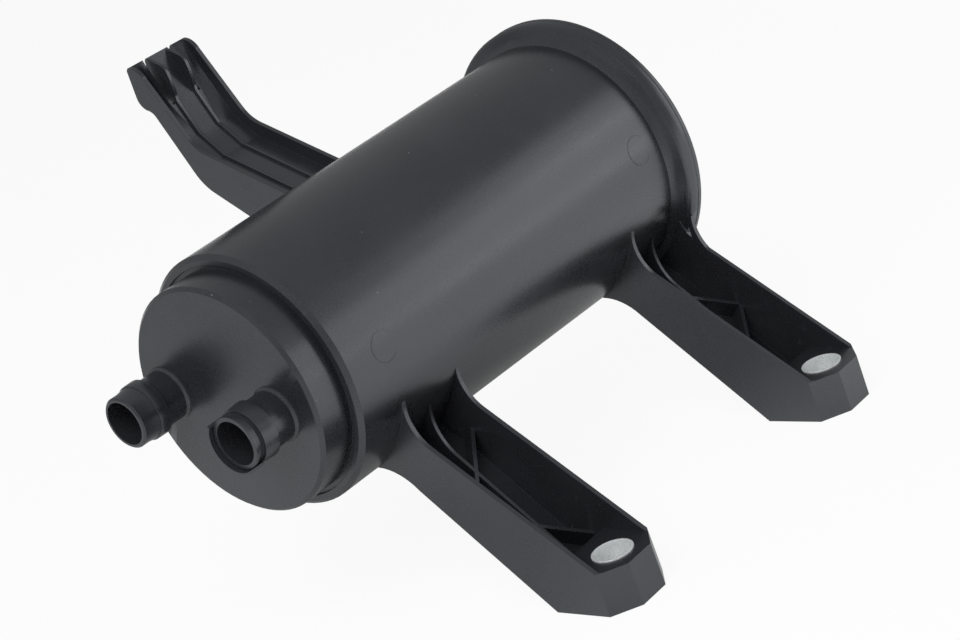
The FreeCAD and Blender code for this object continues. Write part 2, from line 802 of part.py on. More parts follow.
def perforate(name, layer, side, start, depth):
    """Upright slots through a layer, each as long as the round outline allows."""
    slots = []
    rim = room_radius(start)
    first = d.divider_wall / 2 + d.slot_inset
    pitch = (rim * d.slot_share - first - d.slot_width) / (SLOT_COLUMNS - 1)
    for column in range(SLOT_COLUMNS):
        y = first + pitch * column
        reach = (y + d.slot_width) / rim
        half = rim * root(as_size(1) - reach * reach) * d.slot_share
        corner = y if side > 0 else -y - d.slot_width
        for row, low in (("low", -half), ("high", d.slot_width / 2)):
            slots.append(box(name + "_slot_" + row + str(column), depth + d.overlap * 2, d.slot_width,
                             half - d.slot_width / 2, start - d.overlap, corner, low))
    return combine("Cut", name + "_slotted", layer, fuse(name + "_slots", slots))


GRID_X = SEAT_X + d.contact_gap
PORT_FLEECE_X = GRID_X + d.grid_depth + d.contact_gap
CARBON_X = PORT_FLEECE_X + d.fleece_depth + d.contact_gap
COVER_FLEECE_X = d.plate_x - d.contact_gap - d.fleece_depth
CARBON_LENGTH = COVER_FLEECE_X - d.contact_gap - CARBON_X
PLATE_END = d.plate_x + d.plate_depth
SPRING_X = PLATE_END + d.wire_radius + d.contact_gap
SPRING_LENGTH = FLANGE_END + d.cover_bulge - d.wire_radius - d.contact_gap - SPRING_X


def make_spring(name, side):
    """A coil of faceted wire with one closed turn at each end."""
    closed = d.wire_radius.value * 2 + d.contact_gap.value
    turns = d.spring_turns.value
    steps = int(turns * WIRE_STEPS)
    points = []
    for step in range(steps + 1):
        turn = step / WIRE_STEPS
        first = min(turn, 1.0)
        last = max(turn - (turns - 1.0), 0.0)
        open_share = (turn - first - last) / (turns - 2.0)
        along = closed * (first + last) + (SPRING_LENGTH.value - closed * 2) * open_share
        angle = 2 * math.pi * turn
        across = d.spring_y.value * side + d.spring_radius.value * math.cos(angle)
        points.append(FreeCAD.Vector(SPRING_X.value + along, across, d.spring_radius.value * math.sin(angle)))
    path = doc.addObject("Part::Feature", name + "_path")
    path.Shape = Part.makePolygon(points)
    wire = doc.addObject("Part::RegularPolygon", name + "_wire")
    wire.Polygon = WIRE_SIDES
    bind(wire, "Circumradius", d.wire_radius)
    facing = FreeCAD.Rotation(FreeCAD.Vector(0, 0, 1), points[1] - points[0])
    wire.Placement = FreeCAD.Placement(points[0], facing)
    sweep = doc.addObject("Part::Sweep", name + "_sweep")
    sweep.Sections = [wire]
    sweep.Spine = path
    sweep.Solid = True
    sweep.Transition = "Right corner"
    return sweep


finished = [canister_body, end_cover, sleeve_front, sleeve_rear]
for side_name, side in (("left", 1), ("right", -1)):
    for kind, start, depth in (
        ("port_grid", GRID_X, d.grid_depth),
        ("port_fleece", PORT_FLEECE_X, d.fleece_depth),
        ("carbon", CARBON_X, CARBON_LENGTH),
        ("cover_fleece", COVER_FLEECE_X, d.fleece_depth),
        ("pressure_plate", d.plate_x, d.plate_depth),
    ):
        label = kind + "_" + side_name
        layer = half_layer(label, side, start, depth)
        if kind in ("port_grid", "pressure_plate"):
            layer = perforate(label, layer, side, start, depth)
        finished.append(place_finished(layer, label))

    finished.append(place_finished(make_spring("spring_" + side_name, side), "spring_" + side_name))

doc.recompute()
for obj in doc.Objects:
    if "Invalid" in obj.State or "Error" in obj.State:
        raise RuntimeError(obj.Name + " could not be built")
for obj in finished:
    if obj.Shape.isNull() or not obj.Shape.isValid() or len(obj.Shape.Solids) != 1:
        raise RuntimeError(obj.Label + " is not one sound solid")

os.makedirs("parts", exist_ok=True)
for obj in finished:
    obj.Shape.exportStep("parts/" + obj.Label + ".step")
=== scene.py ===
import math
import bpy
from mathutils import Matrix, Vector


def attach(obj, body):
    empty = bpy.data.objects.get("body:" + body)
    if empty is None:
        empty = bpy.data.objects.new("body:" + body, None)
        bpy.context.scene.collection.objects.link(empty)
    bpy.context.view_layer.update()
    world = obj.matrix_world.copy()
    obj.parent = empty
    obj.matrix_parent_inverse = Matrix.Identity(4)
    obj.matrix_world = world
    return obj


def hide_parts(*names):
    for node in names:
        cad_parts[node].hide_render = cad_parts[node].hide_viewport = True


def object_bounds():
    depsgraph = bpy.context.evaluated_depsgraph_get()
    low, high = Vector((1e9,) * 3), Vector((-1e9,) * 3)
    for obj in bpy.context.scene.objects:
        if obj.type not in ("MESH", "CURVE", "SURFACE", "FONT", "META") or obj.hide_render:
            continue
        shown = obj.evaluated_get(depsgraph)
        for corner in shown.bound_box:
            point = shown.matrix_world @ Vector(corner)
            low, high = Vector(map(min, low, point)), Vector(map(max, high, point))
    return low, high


bl_info = {
    "name": "Fuel vapour filter",
    "version": (1, 0, 0),
    "blender": (4, 5, 0),
    "location": "View3D > Sidebar > Filter",
    "description": "Dresses the solids of a moulded fuel vapour filter and sets its studio stage",
    "category": "Object",
}

import bpy
from mathutils import Matrix, Vector

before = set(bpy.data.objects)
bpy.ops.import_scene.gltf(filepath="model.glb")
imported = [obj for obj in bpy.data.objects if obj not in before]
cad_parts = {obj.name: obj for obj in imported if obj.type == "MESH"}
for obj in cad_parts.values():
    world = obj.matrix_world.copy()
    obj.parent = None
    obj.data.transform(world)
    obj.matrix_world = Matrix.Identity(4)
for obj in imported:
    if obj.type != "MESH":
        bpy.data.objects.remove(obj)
CAD_BOX = [list(corner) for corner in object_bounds()]

MM = 0.001
JOIN_GAP = 0.02 * MM  # corners closer than this are one
FLAT = math.radians(0.3)  # faces that turn less than this are one flat
ROUND_STEPS = 3
BAND_ROUND_STEPS = 2
BEAD_STEPS = 160
BAND_STEPS = 96
MARK_STEPS = 72
TUBE_STEPS = 8
ROOM_SHARE = 0.42  # share of the face beside it that a rounding may take
BESIDE = 0.8  # edges more in line than this cosine don't limit a rounding
RING_SLACK = 0.02 * MM  # how far an edge may stray from a circle round the axis
RING_LEAST = 38.0 * MM  # smallest radius of such a circle
SHELL_SLACK = 0.06 * MM  # how far a corner may lie off the drafted shell
SHELL_FACING = 0.985  # least cosine between a face of the shell and the way outwards
SHELL_BLEND = 0.8  # least cosine at which another face shades along with the shell
TURNED_SLACK = 0.16  # how far a turned face may lean sideways, as a sine
SAME_SLOPE = math.radians(4)  # slopes closer than this are one
BODY = "root"
ALONG = Vector((1.0, 0.0, 0.0))
# axis across and up, range along it, range of radii in millimetres and the steps that shade smooth
# in degrees: flange with its fillet, shoulder, both stubs
TURNED = (
    ((93.2, 91.8), (66.0, 86.0), (44.0, 60.0), 55.0),
    ((93.2, 91.8), (-107.0, -88.0), (34.0, 47.0), 24.0),
    ((120.7, 95.0), (-127.0, -103.0), (7.0, 13.0), 24.0),
    ((71.6, 87.8), (-127.0, -103.0), (7.0, 13.0), 24.0),
)
PHOTO_WIDTH = 960
FOCAL_PIXELS = 2340.3
SENSOR_WIDTH = 36.0
CAMERA_PLACE = (-0.51112, -0.48185, 0.31837)
CAMERA_RIGHT = (0.62001309, -0.70772752, -0.33868204)
CAMERA_DOWN = (-0.46140768, 0.02023066, -0.88695754)
CAMERA_AHEAD = (0.63457602, 0.70619578, -0.31400764)


class FilterSizes(bpy.types.PropertyGroup):
    """Sizes of the added details, and of the canister's turned form."""

    edge_round: bpy.props.FloatProperty(
        name="Edge rounding", description="Width of the rounding on the moulded edges",
        default=0.22 * MM, min=0.05 * MM, max=1.0 * MM, subtype="DISTANCE", unit="LENGTH")
    ring_round: bpy.props.FloatProperty(
        name="Ring rounding", description="Widest rounding on the turned edges of the cover",
        default=1.4 * MM, min=0.05 * MM, max=2.0 * MM, subtype="DISTANCE", unit="LENGTH")
    sleeve_round: bpy.props.FloatProperty(
        name="Sleeve rounding", description="Width of the rounding on the rims of the bolt sleeves",
        default=0.22 * MM, min=0.05 * MM, max=0.4 * MM, subtype="DISTANCE", unit="LENGTH")
    smooth_angle: bpy.props.FloatProperty(
        name="Smooth angle", description="Edges flatter than this are shaded smooth",
        default=math.radians(24), min=0.0, max=math.pi, subtype="ANGLE", unit="ROTATION")
    axis_y: bpy.props.FloatProperty(
        name="Axis across", description="Where the canister's axis lies across the part",
        default=93.2 * MM, subtype="DISTANCE", unit="LENGTH")
    axis_z: bpy.props.FloatProperty(
        name="Axis height", description="Height of the canister's axis over the feet",
        default=91.8 * MM, subtype="DISTANCE", unit="LENGTH")
    shell_start: bpy.props.FloatProperty(
        name="Shell start", description="Where the drafted shell begins along the canister",
        default=-93.7 * MM, subtype="DISTANCE", unit="LENGTH")
    shell_end: bpy.props.FloatProperty(
        name="Shell end", description="Where the drafted shell meets the flange",
        default=73.7 * MM, subtype="DISTANCE", unit="LENGTH")
    shell_front: bpy.props.FloatProperty(
        name="Shell radius in front", description="Radius of the drafted shell at its start",
        default=45.0 * MM, subtype="DISTANCE", unit="LENGTH")
    shell_rear: bpy.props.FloatProperty(
        name="Shell radius behind", description="Radius of the drafted shell at the flange",
        default=46.5 * MM, subtype="DISTANCE", unit="LENGTH")
    seam_place: bpy.props.FloatProperty(
        name="Seam place", description="Where the cover is welded to the flange, along the canister",
        default=79.1 * MM, subtype="DISTANCE", unit="LENGTH")
    seam_radius: bpy.props.FloatProperty(
        name="Seam radius", description="Radius of the welded seam",
        default=52.55 * MM, min=0.0, subtype="DISTANCE", unit="LENGTH")
    seam_bead: bpy.props.FloatProperty(
        name="Seam bead", description="Half thickness of the bead that the weld pressed out",
        default=0.3 * MM, min=0.05 * MM, max=0.6 * MM, subtype="DISTANCE", unit="LENGTH")
    band_radius: bpy.props.FloatProperty(
        name="Band radius", description="Radius of the raised band on the nose of the upper stub",
        default=9.97 * MM, min=0.0, subtype="DISTANCE", unit="LENGTH")
    band_width: bpy.props.FloatProperty(
        name="Band width", description="Width of that band along the stub",
        default=3.7 * MM, min=0.5 * MM, subtype="DISTANCE", unit="LENGTH")
    band_wall: bpy.props.FloatProperty(
        name="Band wall", description="How thick the band is, down into the stub's wall",
        default=0.9 * MM, min=0.1 * MM, subtype="DISTANCE", unit="LENGTH")
    mark_radius: bpy.props.FloatProperty(
        name="Mark radius", description="Radius of the round marks that the mould left on the canister",
        default=5.2 * MM, min=0.0, subtype="DISTANCE", unit="LENGTH")
    mark_rise: bpy.props.FloatProperty(
        name="Mark rise", description="How far the rim of such a mark stands up",
        default=0.028 * MM, min=0.0, subtype="DISTANCE", unit="LENGTH")


class FilterColours(bpy.types.PropertyGroup):
    """Colours of the finishes."""

    housing: bpy.props.FloatVectorProperty(
        name="Housing", description="Black moulded nylon of the canister and cover",
        default=(0.015, 0.0155, 0.018), min=0.0, max=1.0, size=3, subtype="COLOR")
    haze: bpy.props.FloatVectorProperty(
        name="Haze", description="Pale bloom of the mould and of handling on the nylon",
        default=(0.036, 0.037, 0.041), min=0.0, max=1.0, size=3, subtype="COLOR")
    dust: bpy.props.FloatVectorProperty(
        name="Dust", description="Specks of dust and chalky nicks on the nylon",
        default=(0.16, 0.16, 0.165), min=0.0, max=1.0, size=3, subtype="COLOR")
    zinc: bpy.props.FloatVectorProperty(
        name="Zinc", description="Plating of the bolt sleeves",
        default=(0.93, 0.96, 0.965), min=0.0, max=1.0, size=3, subtype="COLOR")
    grid: bpy.props.FloatVectorProperty(
        name="Grid", description="Moulded grids and pressure plates inside",
        default=(0.03, 0.03, 0.033), min=0.0, max=1.0, size=3, subtype="COLOR")
    fleece: bpy.props.FloatVectorProperty(
        name="Fleece", description="Felted filter layers inside",
        default=(0.75, 0.74, 0.71), min=0.0, max=1.0, size=3, subtype="COLOR")
    charcoal: bpy.props.FloatVectorProperty(
        name="Charcoal", description="Grains of the filling",
        default=(0.01, 0.01, 0.01), min=0.0, max=1.0, size=3, subtype="COLOR")
    wire: bpy.props.FloatVectorProperty(
        name="Wire", description="Drawn steel of the springs",
        default=(0.5, 0.5, 0.5), min=0.0, max=1.0, size=3, subtype="COLOR")


class Field:
    """A value that varies over a surface, held as a socket of a material's nodes."""

    def __init__(self, tree, socket=None):
        self.tree = tree
        self.socket = socket

    def node(self, kind, settings=None, inputs=None, output=0):
        """Adds a node; its settings come first, then the values or links of its sockets."""
        node = self.tree.nodes.new(kind)
        for name, value in (settings or {}).items():
            if name == "stops":
                for stop, (place, shade) in zip(node.color_ramp.elements, value):
                    stop.position = place
                    stop.color = (shade, shade, shade, 1.0)
            else:
                setattr(node, name, value)
        for name, value in (inputs or {}).items():
            if isinstance(value, Field):
                self.tree.links.new(value.socket, node.inputs[name])
            else:
                node.inputs[name].default_value = value
        return Field(self.tree, node.outputs[output])

    def maths(self, operation, first, second):
        return self.node("ShaderNodeMath", {"operation": operation}, {0: first, 1: second})

    def __add__(self, other):
        return self.maths("ADD", self, other)

    def __radd__(self, other):
        return self.maths("ADD", other, self)

    def __sub__(self, other):
        return self.maths("SUBTRACT", self, other)

    def __rsub__(self, other):
        return self.maths("SUBTRACT", other, self)

    def __mul__(self, other):
        return self.maths("MULTIPLY", self, other)

    def __rmul__(self, other):
        return self.maths("MULTIPLY", other, self)


def new_material(name):
    """An empty material and the field its nodes start from."""
    material = bpy.data.materials.new(name)
    material.use_nodes = True
    return material, Field(material.node_tree)


def noise(start, place, scale, detail, roughness=0.5):
    """A cloudy value from 0 to 1; the scale is in clouds per metre."""
    return start.node("ShaderNodeTexNoise", None, {
        "Vector": place, "Scale": scale, "Detail": detail, "Roughness": roughness})


def ramp(start, value, low, high):
    """0 below the low value, 1 above the high one."""
    return start.node("ShaderNodeValToRGB", {"stops": ((low, 0.0), (high, 1.0))}, {"Fac": value})


def blend(start, share, first, second):
    """Mixes two colours by a share from 0 to 1."""
    ends = [end if isinstance(end, Field) else (*end, 1.0) for end in (first, second)]
    return start.node("ShaderNodeMix", {"data_type": "RGBA"}, {0: share, 6: ends[0], 7: ends[1]}, 2)


def bumps(start, height, distance, strength, normal=None):
    """Small hills over the surface, or over a normal that is softened already."""
    inputs = {"Height": height, "Distance": distance, "Strength": strength}
    if normal is not None:
        inputs["Normal"] = normal
    return start.node("ShaderNodeBump", None, inputs)


def wire_up(material, links, values):
    """Feeds the material's surface shader."""
    shader = material.node_tree.nodes["Principled BSDF"]
    for name, field in links.items():
        material.node_tree.links.new(field.socket, shader.inputs[name])
    for name, value in values.items():
        shader.inputs[name].default_value = value
    return material


def moulded_nylon(name, colour, haze, dust, rounding):
    """Satin black nylon with softened edges, a fine spark-eroded grain, pale bloom, scuffs and dust."""
    material, start = new_material(name)
    place = start.node("ShaderNodeTexCoord", output="Object")
    bloom = noise(start, place, 38.0, 5.0, 0.62)
    grain = noise(start, place, 2600.0, 2.0)
    pores = noise(start, place, 900.0, 3.0, 0.6)
    drawn = start.node("ShaderNodeMapping", None, {"Vector": place, "Scale": (18.0, 260.0, 260.0),
                                                   "Rotation": (0.0, 0.0, 0.35)})
    scuffs = ramp(start, noise(start, drawn, 1.0, 3.0, 0.55), 0.63, 0.74)
    patches = ramp(start, noise(start, place, 22.0, 2.0), 0.5, 0.68)
    wear = scuffs * patches
    share = ramp(start, bloom, 0.35, 0.8) * 0.35 + wear * 0.6 + (pores - 0.5) * 0.12
    cells = start.node("ShaderNodeTexVoronoi", None, {"Vector": place, "Scale": 210.0})
    sparse = ramp(start, noise(start, place, 64.0, 2.0), 0.57, 0.62)
    specks = ramp(start, 1.0 - cells, 0.93, 0.96) * sparse
    shade = blend(start, specks * 0.8, blend(start, share, colour, haze), dust)
    roughness = 0.28 + (bloom - 0.5) * 0.12 + (pores - 0.5) * 0.08 + wear * 0.07
    height = grain * 0.6 + pores * 0.4
    soft = start.node("ShaderNodeBevel", {"samples": 6}, {"Radius": rounding})
    return wire_up(material, {
        "Base Color": shade,
        "Roughness": roughness,
        "Normal": bumps(start, height, 0.06 * MM, 0.35, soft),
    }, {"IOR": 1.85, "Specular Tint": (0.9, 0.94, 1.0, 1.0)})


def plated_zinc(name, colour):
    """Thin zinc on turned steel: fine rings round the bolt axis and a dull, patchy lustre."""
    material, start = new_material(name)
    place = start.node("ShaderNodeTexCoord", output="Object")
    patches = noise(start, place, 420.0, 4.0, 0.6)
    flat = start.node("ShaderNodeMapping", None, {"Vector": place, "Scale": (60.0, 60.0, 5200.0)})
    lathe = noise(start, flat, 1.0, 2.0)
    shade = blend(start, patches, [part * 0.72 for part in colour], colour)
    roughness = 0.3 + (patches - 0.5) * 0.25 + (lathe - 0.5) * 0.1
    return wire_up(material, {
        "Base Color": shade,
        "Roughness": roughness,
        "Normal": bumps(start, lathe, 0.03 * MM, 0.5),
    }, {"Metallic": 0.4})


def drawn_wire(name, colour):
    """Spring steel with faint drawing lines."""
    material, start = new_material(name)
    place = start.node("ShaderNodeTexCoord", output="Object")
    lines = noise(start, place, 1800.0, 3.0)
    return wire_up(material, {
        "Base Color": blend(start, lines, [part * 0.6 for part in colour], colour),
        "Roughness": 0.28 + lines * 0.18,
    }, {"Metallic": 1.0})


def felt(name, colour):
    """Matted white fibres."""
    material, start = new_material(name)
    place = start.node("ShaderNodeTexCoord", output="Object")
    fibres = noise(start, place, 1500.0, 6.0, 0.75)
    clumps = noise(start, place, 240.0, 3.0)
    return wire_up(material, {
        "Base Color": blend(start, fibres * 0.6 + clumps * 0.4, [part * 0.7 for part in colour], colour),
        "Normal": bumps(start, fibres, 0.2 * MM, 0.8),
    }, {"Roughness": 0.95})


def grains(name, colour):
    """Dull black grains about two millimetres across."""
    material, start = new_material(name)
    place = start.node("ShaderNodeTexCoord", output="Object")
    cells = start.node("ShaderNodeTexVoronoi", None, {"Vector": place, "Scale": 520.0})
    dust = noise(start, place, 900.0, 3.0)
    return wire_up(material, {
        "Base Color": blend(start, dust * 0.7, colour, [part * 3.0 for part in colour]),
        "Roughness": 0.7 + (dust - 0.5) * 0.3,
        "Normal": bumps(start, 1.0 - cells, 0.8 * MM, 0.9),
    }, {})


def dress(obj, material):
    """Gives a whole piece one finish."""
    obj.data.materials.clear()
    obj.data.materials.append(material)


def deselect():
    if bpy.context.object is not None and bpy.context.object.mode != "OBJECT":
        bpy.ops.object.mode_set(mode="OBJECT")
    bpy.ops.object.select_all(action="DESELECT")


def make_active(obj):
    deselect()
    obj.select_set(True)
    bpy.context.view_layer.objects.active = obj


def copy_of_node(node, name, split=True):
    """A copy of a solid's mesh with its flat faces whole again or, to be rounded, split evenly."""
    deselect()
    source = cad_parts[node]
    piece = bpy.data.objects.new(name, source.data.copy())
    bpy.context.scene.collection.objects.link(piece)
    make_active(piece)
    bpy.ops.object.mode_set(mode="EDIT")
    bpy.ops.mesh.select_all(action="SELECT")
    bpy.ops.mesh.remove_doubles(threshold=JOIN_GAP)
    bpy.ops.mesh.dissolve_limited(angle_limit=FLAT)
    if split:
        bpy.ops.mesh.quads_convert_to_tris(quad_method="BEAUTY", ngon_method="BEAUTY")
    bpy.ops.object.mode_set(mode="OBJECT")
    return piece


def faces_beside(mesh):
    """The faces on each side of every edge."""
    beside = {}
    for face in mesh.polygons:
        for key in face.edge_keys:
            beside.setdefault(key, []).append(face)
    return beside


def edges_at(mesh):
    """The edges that leave every corner, as (edge, direction with its length)."""
    leaving = [[] for _ in mesh.vertices]
    for edge in mesh.edges:
        first, last = edge.vertices
        run = mesh.vertices[last].co - mesh.vertices[first].co
        leaving[first].append((edge.index, run))
        leaving[last].append((edge.index, -run))
    return leaving


def room_at(leaving, edge, corner):
    """How far the rounding of an edge may reach into the edges beside it at one corner."""
    own = next(run for index, run in leaving[corner] if index == edge.index)
    reaches = [run.cross(own.normalized()).length for index, run in leaving[corner]
               if index != edge.index and abs(run.normalized().dot(own.normalized())) < BESIDE]
    return ROOM_SHARE * min(reaches, default=1.0)


def round_edges(piece, width, ring_width, angle):
    """Rounds every edge sharper than the angle, as far as the faces beside it leave room.

    Edges that run round the canister get the wider rounding of a turned form.
    """
    mesh = piece.data
    beside = faces_beside(mesh)
    leaving = edges_at(mesh)
    weights = mesh.attributes.new("bevel_weight_edge", "FLOAT", "EDGE")
    for edge in mesh.edges:
        pair = beside[edge.key]
        first, last = (mesh.vertices[corner].co for corner in edge.vertices)
        if len(pair) != 2 or pair[0].normal.angle(pair[1].normal) < angle:
            continue
        room = min(ROOM_SHARE * min(face.area for face in pair) / (first - last).length,
                   *(room_at(leaving, edge, corner) for corner in edge.vertices))
        wanted = ring_width if on_ring(first, last) else width
        weights.data[edge.index].value = min(wanted, room) / ring_width
    make_active(piece)
    rounding = piece.modifiers.new("rounding", "BEVEL")
    rounding.width = ring_width
    rounding.segments = ROUND_STEPS
    rounding.limit_method = "WEIGHT"
    rounding.use_clamp_overlap = False
    bpy.ops.object.modifier_apply(modifier="rounding")
    smooth_faces(piece, angle)


def smooth_faces(piece, angle):
    """Shades the faces smooth across every edge flatter than the angle, and keeps flats flat."""
    make_active(piece)
    bpy.ops.object.shade_smooth_by_angle(angle=angle)
    flats = piece.modifiers.new("flats", "WEIGHTED_NORMAL")
    flats.keep_sharp = True
    bpy.ops.object.modifier_apply(modifier="flats")


def from_axis(place):
    """The part of a place that leads straight away from the canister's axis."""
    sizes = bpy.context.scene.filter_sizes
    return Vector((0.0, place.y - sizes.axis_y, place.z - sizes.axis_z))


def on_ring(first, last):
    """True for an edge that runs round the canister's own axis."""
    level = abs(first.x - last.x) < RING_SLACK
    even = abs(from_axis(first).length - from_axis(last).length) < RING_SLACK
    return level and even and from_axis(first).length > RING_LEAST


def turn_normals(mesh, normals, axis, along, reach, step):
    """Lets the faces turned on an axis, within a length and a range of radii, shade as true cones."""
    angle = math.radians(step)

    def away(place):
        return Vector((0.0, place.y - axis[0] * MM, place.z - axis[1] * MM))

    def in_zone(place):
        level = along[0] * MM < place.x < along[1] * MM
        return level and reach[0] * MM < away(place).length < reach[1] * MM

    slopes = {}
    for face in mesh.polygons:
        places = [mesh.vertices[corner].co for corner in face.vertices]
        if not all(in_zone(place) for place in places):
            continue
        outwards = [away(place).normalized() for place in places]
        if max(abs(face.normal.dot(ALONG.cross(outward))) for outward in outwards) < TURNED_SLACK:
            rise = sum(face.normal.dot(outward) for outward in outwards) / len(outwards)
            slopes[face.index] = Vector((face.normal.x, rise)).normalized()
    met = {}
    for index, slope in slopes.items():
        for corner in mesh.polygons[index].vertices:
            known = met.setdefault(corner, [])
            if all(slope.angle(other) > SAME_SLOPE for other in known):
                known.append(slope)
    for index, slope in slopes.items():
        for loop in mesh.polygons[index].loop_indices:
            corner = mesh.loops[loop].vertex_index
            mixed = sum((other for other in met[corner] if slope.angle(other) < angle), Vector((0.0, 0.0)))
            outward = away(mesh.vertices[corner].co).normalized()
            normals[loop] = (ALONG * mixed.x + outward * mixed.y).normalized()


def smooth_turned(piece):
    """Lets the turned faces and the drafted shell shade as true cones."""
    mesh = piece.data
    sizes = bpy.context.scene.filter_sizes
    normals = [Vector(corner.vector) for corner in mesh.corner_normals]
    for zone in TURNED:
        turn_normals(mesh, normals, *zone)

    def off_shell(place):
        along = (place.x - sizes.shell_start) / (sizes.shell_end - sizes.shell_start)
        radius = sizes.shell_front + along * (sizes.shell_rear - sizes.shell_front)
        return abs(from_axis(place).length - radius)

    tilt = -(sizes.shell_rear - sizes.shell_front) / (sizes.shell_end - sizes.shell_start)
    on_shell = [sizes.shell_start - MM < spot.co.x < sizes.shell_end and off_shell(spot.co) < SHELL_SLACK
                for spot in mesh.vertices]
    plain = set()
    for face in mesh.polygons:
        outward = from_axis(face.center).normalized()
        if all(on_shell[corner] for corner in face.vertices) and face.normal.dot(outward) > SHELL_FACING:
            plain.update(face.vertices)
    for face in mesh.polygons:
        for loop in face.loop_indices:
            corner = mesh.loops[loop].vertex_index
            outward = from_axis(mesh.vertices[corner].co).normalized()
            outward.x = tilt
            outward.normalize()
            if corner in plain and face.normal.dot(outward) > SHELL_BLEND:
                normals[loop] = outward
    mesh.normals_split_custom_set(normals)


def apply_place(piece):
    """Puts a piece's place into its mesh."""
    make_active(piece)
    bpy.ops.object.transform_apply(location=True, rotation=True, scale=True)


class FILTER_OT_housing(bpy.types.Operator):
    """Shade the canister with its stubs, arms and hook, and give it black nylon with soft edges"""

    bl_idname = "filter.housing"
    bl_label = "Housing"

    def execute(self, context):
        sizes = context.scene.filter_sizes
        colours = context.scene.filter_colours
        piece = copy_of_node("canister_body", "housing", split=False)
        smooth_faces(piece, sizes.smooth_angle)
        smooth_turned(piece)
        nylon = moulded_nylon("black_nylon", colours.housing, colours.haze, colours.dust, sizes.edge_round)
        dress(piece, nylon)
        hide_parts("canister_body")
        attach(piece, BODY)
        return {"FINISHED"}


class FILTER_OT_cover(bpy.types.Operator):
    """Round the cover's edges and add the bead of its welded seam"""

    bl_idname = "filter.cover"
    bl_label = "Cover"

    def execute(self, context):
        sizes = context.scene.filter_sizes
        nylon = bpy.data.materials["black_nylon"]
        piece = copy_of_node("end_cover", "cover")
        round_edges(piece, sizes.edge_round, sizes.ring_round, sizes.smooth_angle)
        dress(piece, nylon)
        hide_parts("end_cover")
        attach(piece, BODY)
        deselect()
        bpy.ops.mesh.primitive_torus_add(
            major_radius=sizes.seam_radius, minor_radius=sizes.seam_bead,
            major_segments=BEAD_STEPS, minor_segments=TUBE_STEPS,
            location=(sizes.seam_place, sizes.axis_y, sizes.axis_z), rotation=(0.0, math.pi / 2, 0.0))
        bead = context.object
        bead.name = "weld_bead"
        bpy.ops.object.shade_smooth()
        apply_place(bead)
        dress(bead, nylon)
        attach(bead, BODY)
        return {"FINISHED"}


class FILTER_OT_sleeves(bpy.types.Operator):
    """Give the bolt sleeves rounded rims and zinc plating"""

    bl_idname = "filter.sleeves"
    bl_label = "Bolt sleeves"

    def execute(self, context):
        sizes = context.scene.filter_sizes
        zinc = plated_zinc("zinc_plating", context.scene.filter_colours.zinc)
        for end in ("front", "rear"):
            piece = copy_of_node("sleeve_" + end, "bolt_sleeve_" + end)
            round_edges(piece, sizes.sleeve_round, sizes.sleeve_round, sizes.smooth_angle)
            dress(piece, zinc)
            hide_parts("sleeve_" + end)
            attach(piece, BODY)
        return {"FINISHED"}


class FILTER_OT_band(bpy.types.Operator):
    """Add the raised band that holds the hose on the upper stub"""

    bl_idname = "filter.band"
    bl_label = "Stub band"

    PLACE = (-117.9, 120.7, 95.0)  # millimetres
    TAPER = 0.988  # how much narrower the band's front end is

    def execute(self, context):
        sizes = context.scene.filter_sizes
        deselect()
        bpy.ops.mesh.primitive_cylinder_add(
            vertices=BAND_STEPS, radius=sizes.band_radius, depth=sizes.band_width, end_fill_type="NOTHING",
            location=[part * MM for part in self.PLACE], rotation=(0.0, math.pi / 2, 0.0))
        piece = context.object
        piece.name = "stub_band"
        bpy.ops.object.mode_set(mode="EDIT")
        bpy.ops.mesh.select_all(action="DESELECT")
        bpy.ops.object.mode_set(mode="OBJECT")
        for spot in piece.data.vertices:
            spot.select = spot.co.z < 0.0
        bpy.ops.object.mode_set(mode="EDIT")
        bpy.ops.transform.resize(value=(1.0, self.TAPER, self.TAPER))
        bpy.ops.object.mode_set(mode="OBJECT")
        wall = piece.modifiers.new("wall", "SOLIDIFY")
        wall.thickness = sizes.band_wall
        wall.offset = -1.0
        bpy.ops.object.modifier_apply(modifier="wall")
        rounding = piece.modifiers.new("rounding", "BEVEL")
        rounding.width = sizes.edge_round
        rounding.segments = BAND_ROUND_STEPS
        bpy.ops.object.modifier_apply(modifier="rounding")
        bpy.ops.object.shade_smooth_by_angle(angle=sizes.smooth_angle)
        apply_place(piece)
        dress(piece, bpy.data.materials["black_nylon"])
        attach(piece, BODY)
        return {"FINISHED"}


